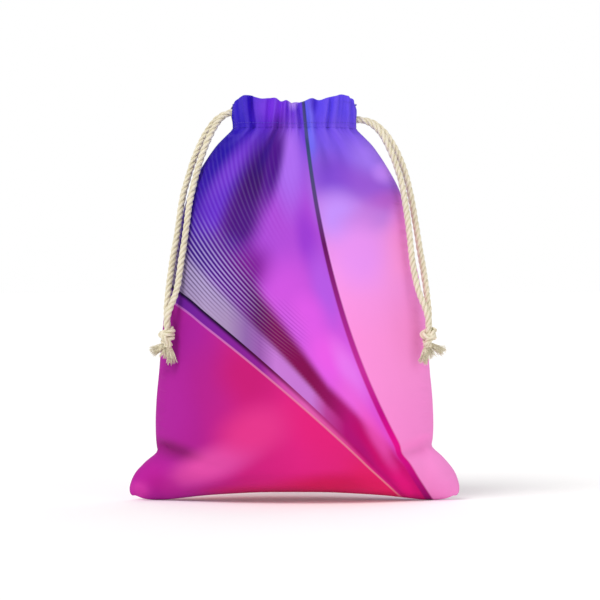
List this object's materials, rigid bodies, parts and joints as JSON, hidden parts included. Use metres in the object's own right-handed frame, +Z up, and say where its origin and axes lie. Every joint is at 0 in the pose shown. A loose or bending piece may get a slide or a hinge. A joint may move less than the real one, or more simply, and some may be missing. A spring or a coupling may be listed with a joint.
{
  "type": "drawstring sack",
  "caption": "Upright puffed cloth drawstring sack with a gathered hem, sewn bottom corners and a knotted twisted cord loop hanging at each side.",
  "frame": {"origin": "on the floor, under the middle of the standing bag", "axes": "+Z up to the mouth, +X to the right as seen from the front, -Y out of the front panel"},
  "size_m": [0.5942, 0.252, 0.7262],
  "materials": {
    "printed_cloth": "satin",
    "printed_cloth_hem": "satin",
    "seam_allowance": "matte",
    "sewing_thread": "matte",
    "cotton_cord": "matte",
    "frayed_cotton": "matte"
  },
  "bodies": {
    "bag": {"front_panel": "printed_cloth", "back_panel": "printed_cloth", "front_hem_casing": "printed_cloth_hem", "back_hem_casing": "printed_cloth_hem", "left_side_seam": "seam_allowance", "right_side_seam": "seam_allowance", "bottom_seam": "seam_allowance", "front_hem_stitching": "sewing_thread", "back_hem_stitching": "sewing_thread", "side_bar_tacks": "sewing_thread", "left_cord_in_casing": "cotton_cord", "right_cord_in_casing": "cotton_cord"},
    "left_cord_slider": {"left_cord_exit_run": "cotton_cord"},
    "left_cord_loop": {"left_cord_front_strand": "cotton_cord", "left_cord_back_strand": "cotton_cord", "left_knot": "cotton_cord", "left_cord_ends": "frayed_cotton"},
    "right_cord_slider": {"right_cord_exit_run": "cotton_cord"},
    "right_cord_loop": {"right_cord_front_strand": "cotton_cord", "right_cord_back_strand": "cotton_cord", "right_knot": "cotton_cord", "right_cord_ends": "frayed_cotton"}
  },
  "joints": [
    {"name": "left_cord_pull", "type": "slide", "parent": "bag", "child": "left_cord_slider", "axis": [-1, 0, 0], "range_m": [0, 0.02]},
    {"name": "left_cord_swing", "type": "hinge", "parent": "left_cord_slider", "child": "left_cord_loop", "pos_m": [-0.118, 0, 0.697], "axis": [0, 1, 0], "range_deg": [0, 95]},
    {"name": "right_cord_pull", "type": "slide", "parent": "bag", "child": "right_cord_slider", "axis": [1, 0, 0], "range_m": [0, 0.02]},
    {"name": "right_cord_swing", "type": "hinge", "parent": "right_cord_slider", "child": "right_cord_loop", "pos_m": [0.118, 0, 0.6845], "axis": [0, -1, 0], "range_deg": [0, 95]}
  ]
}
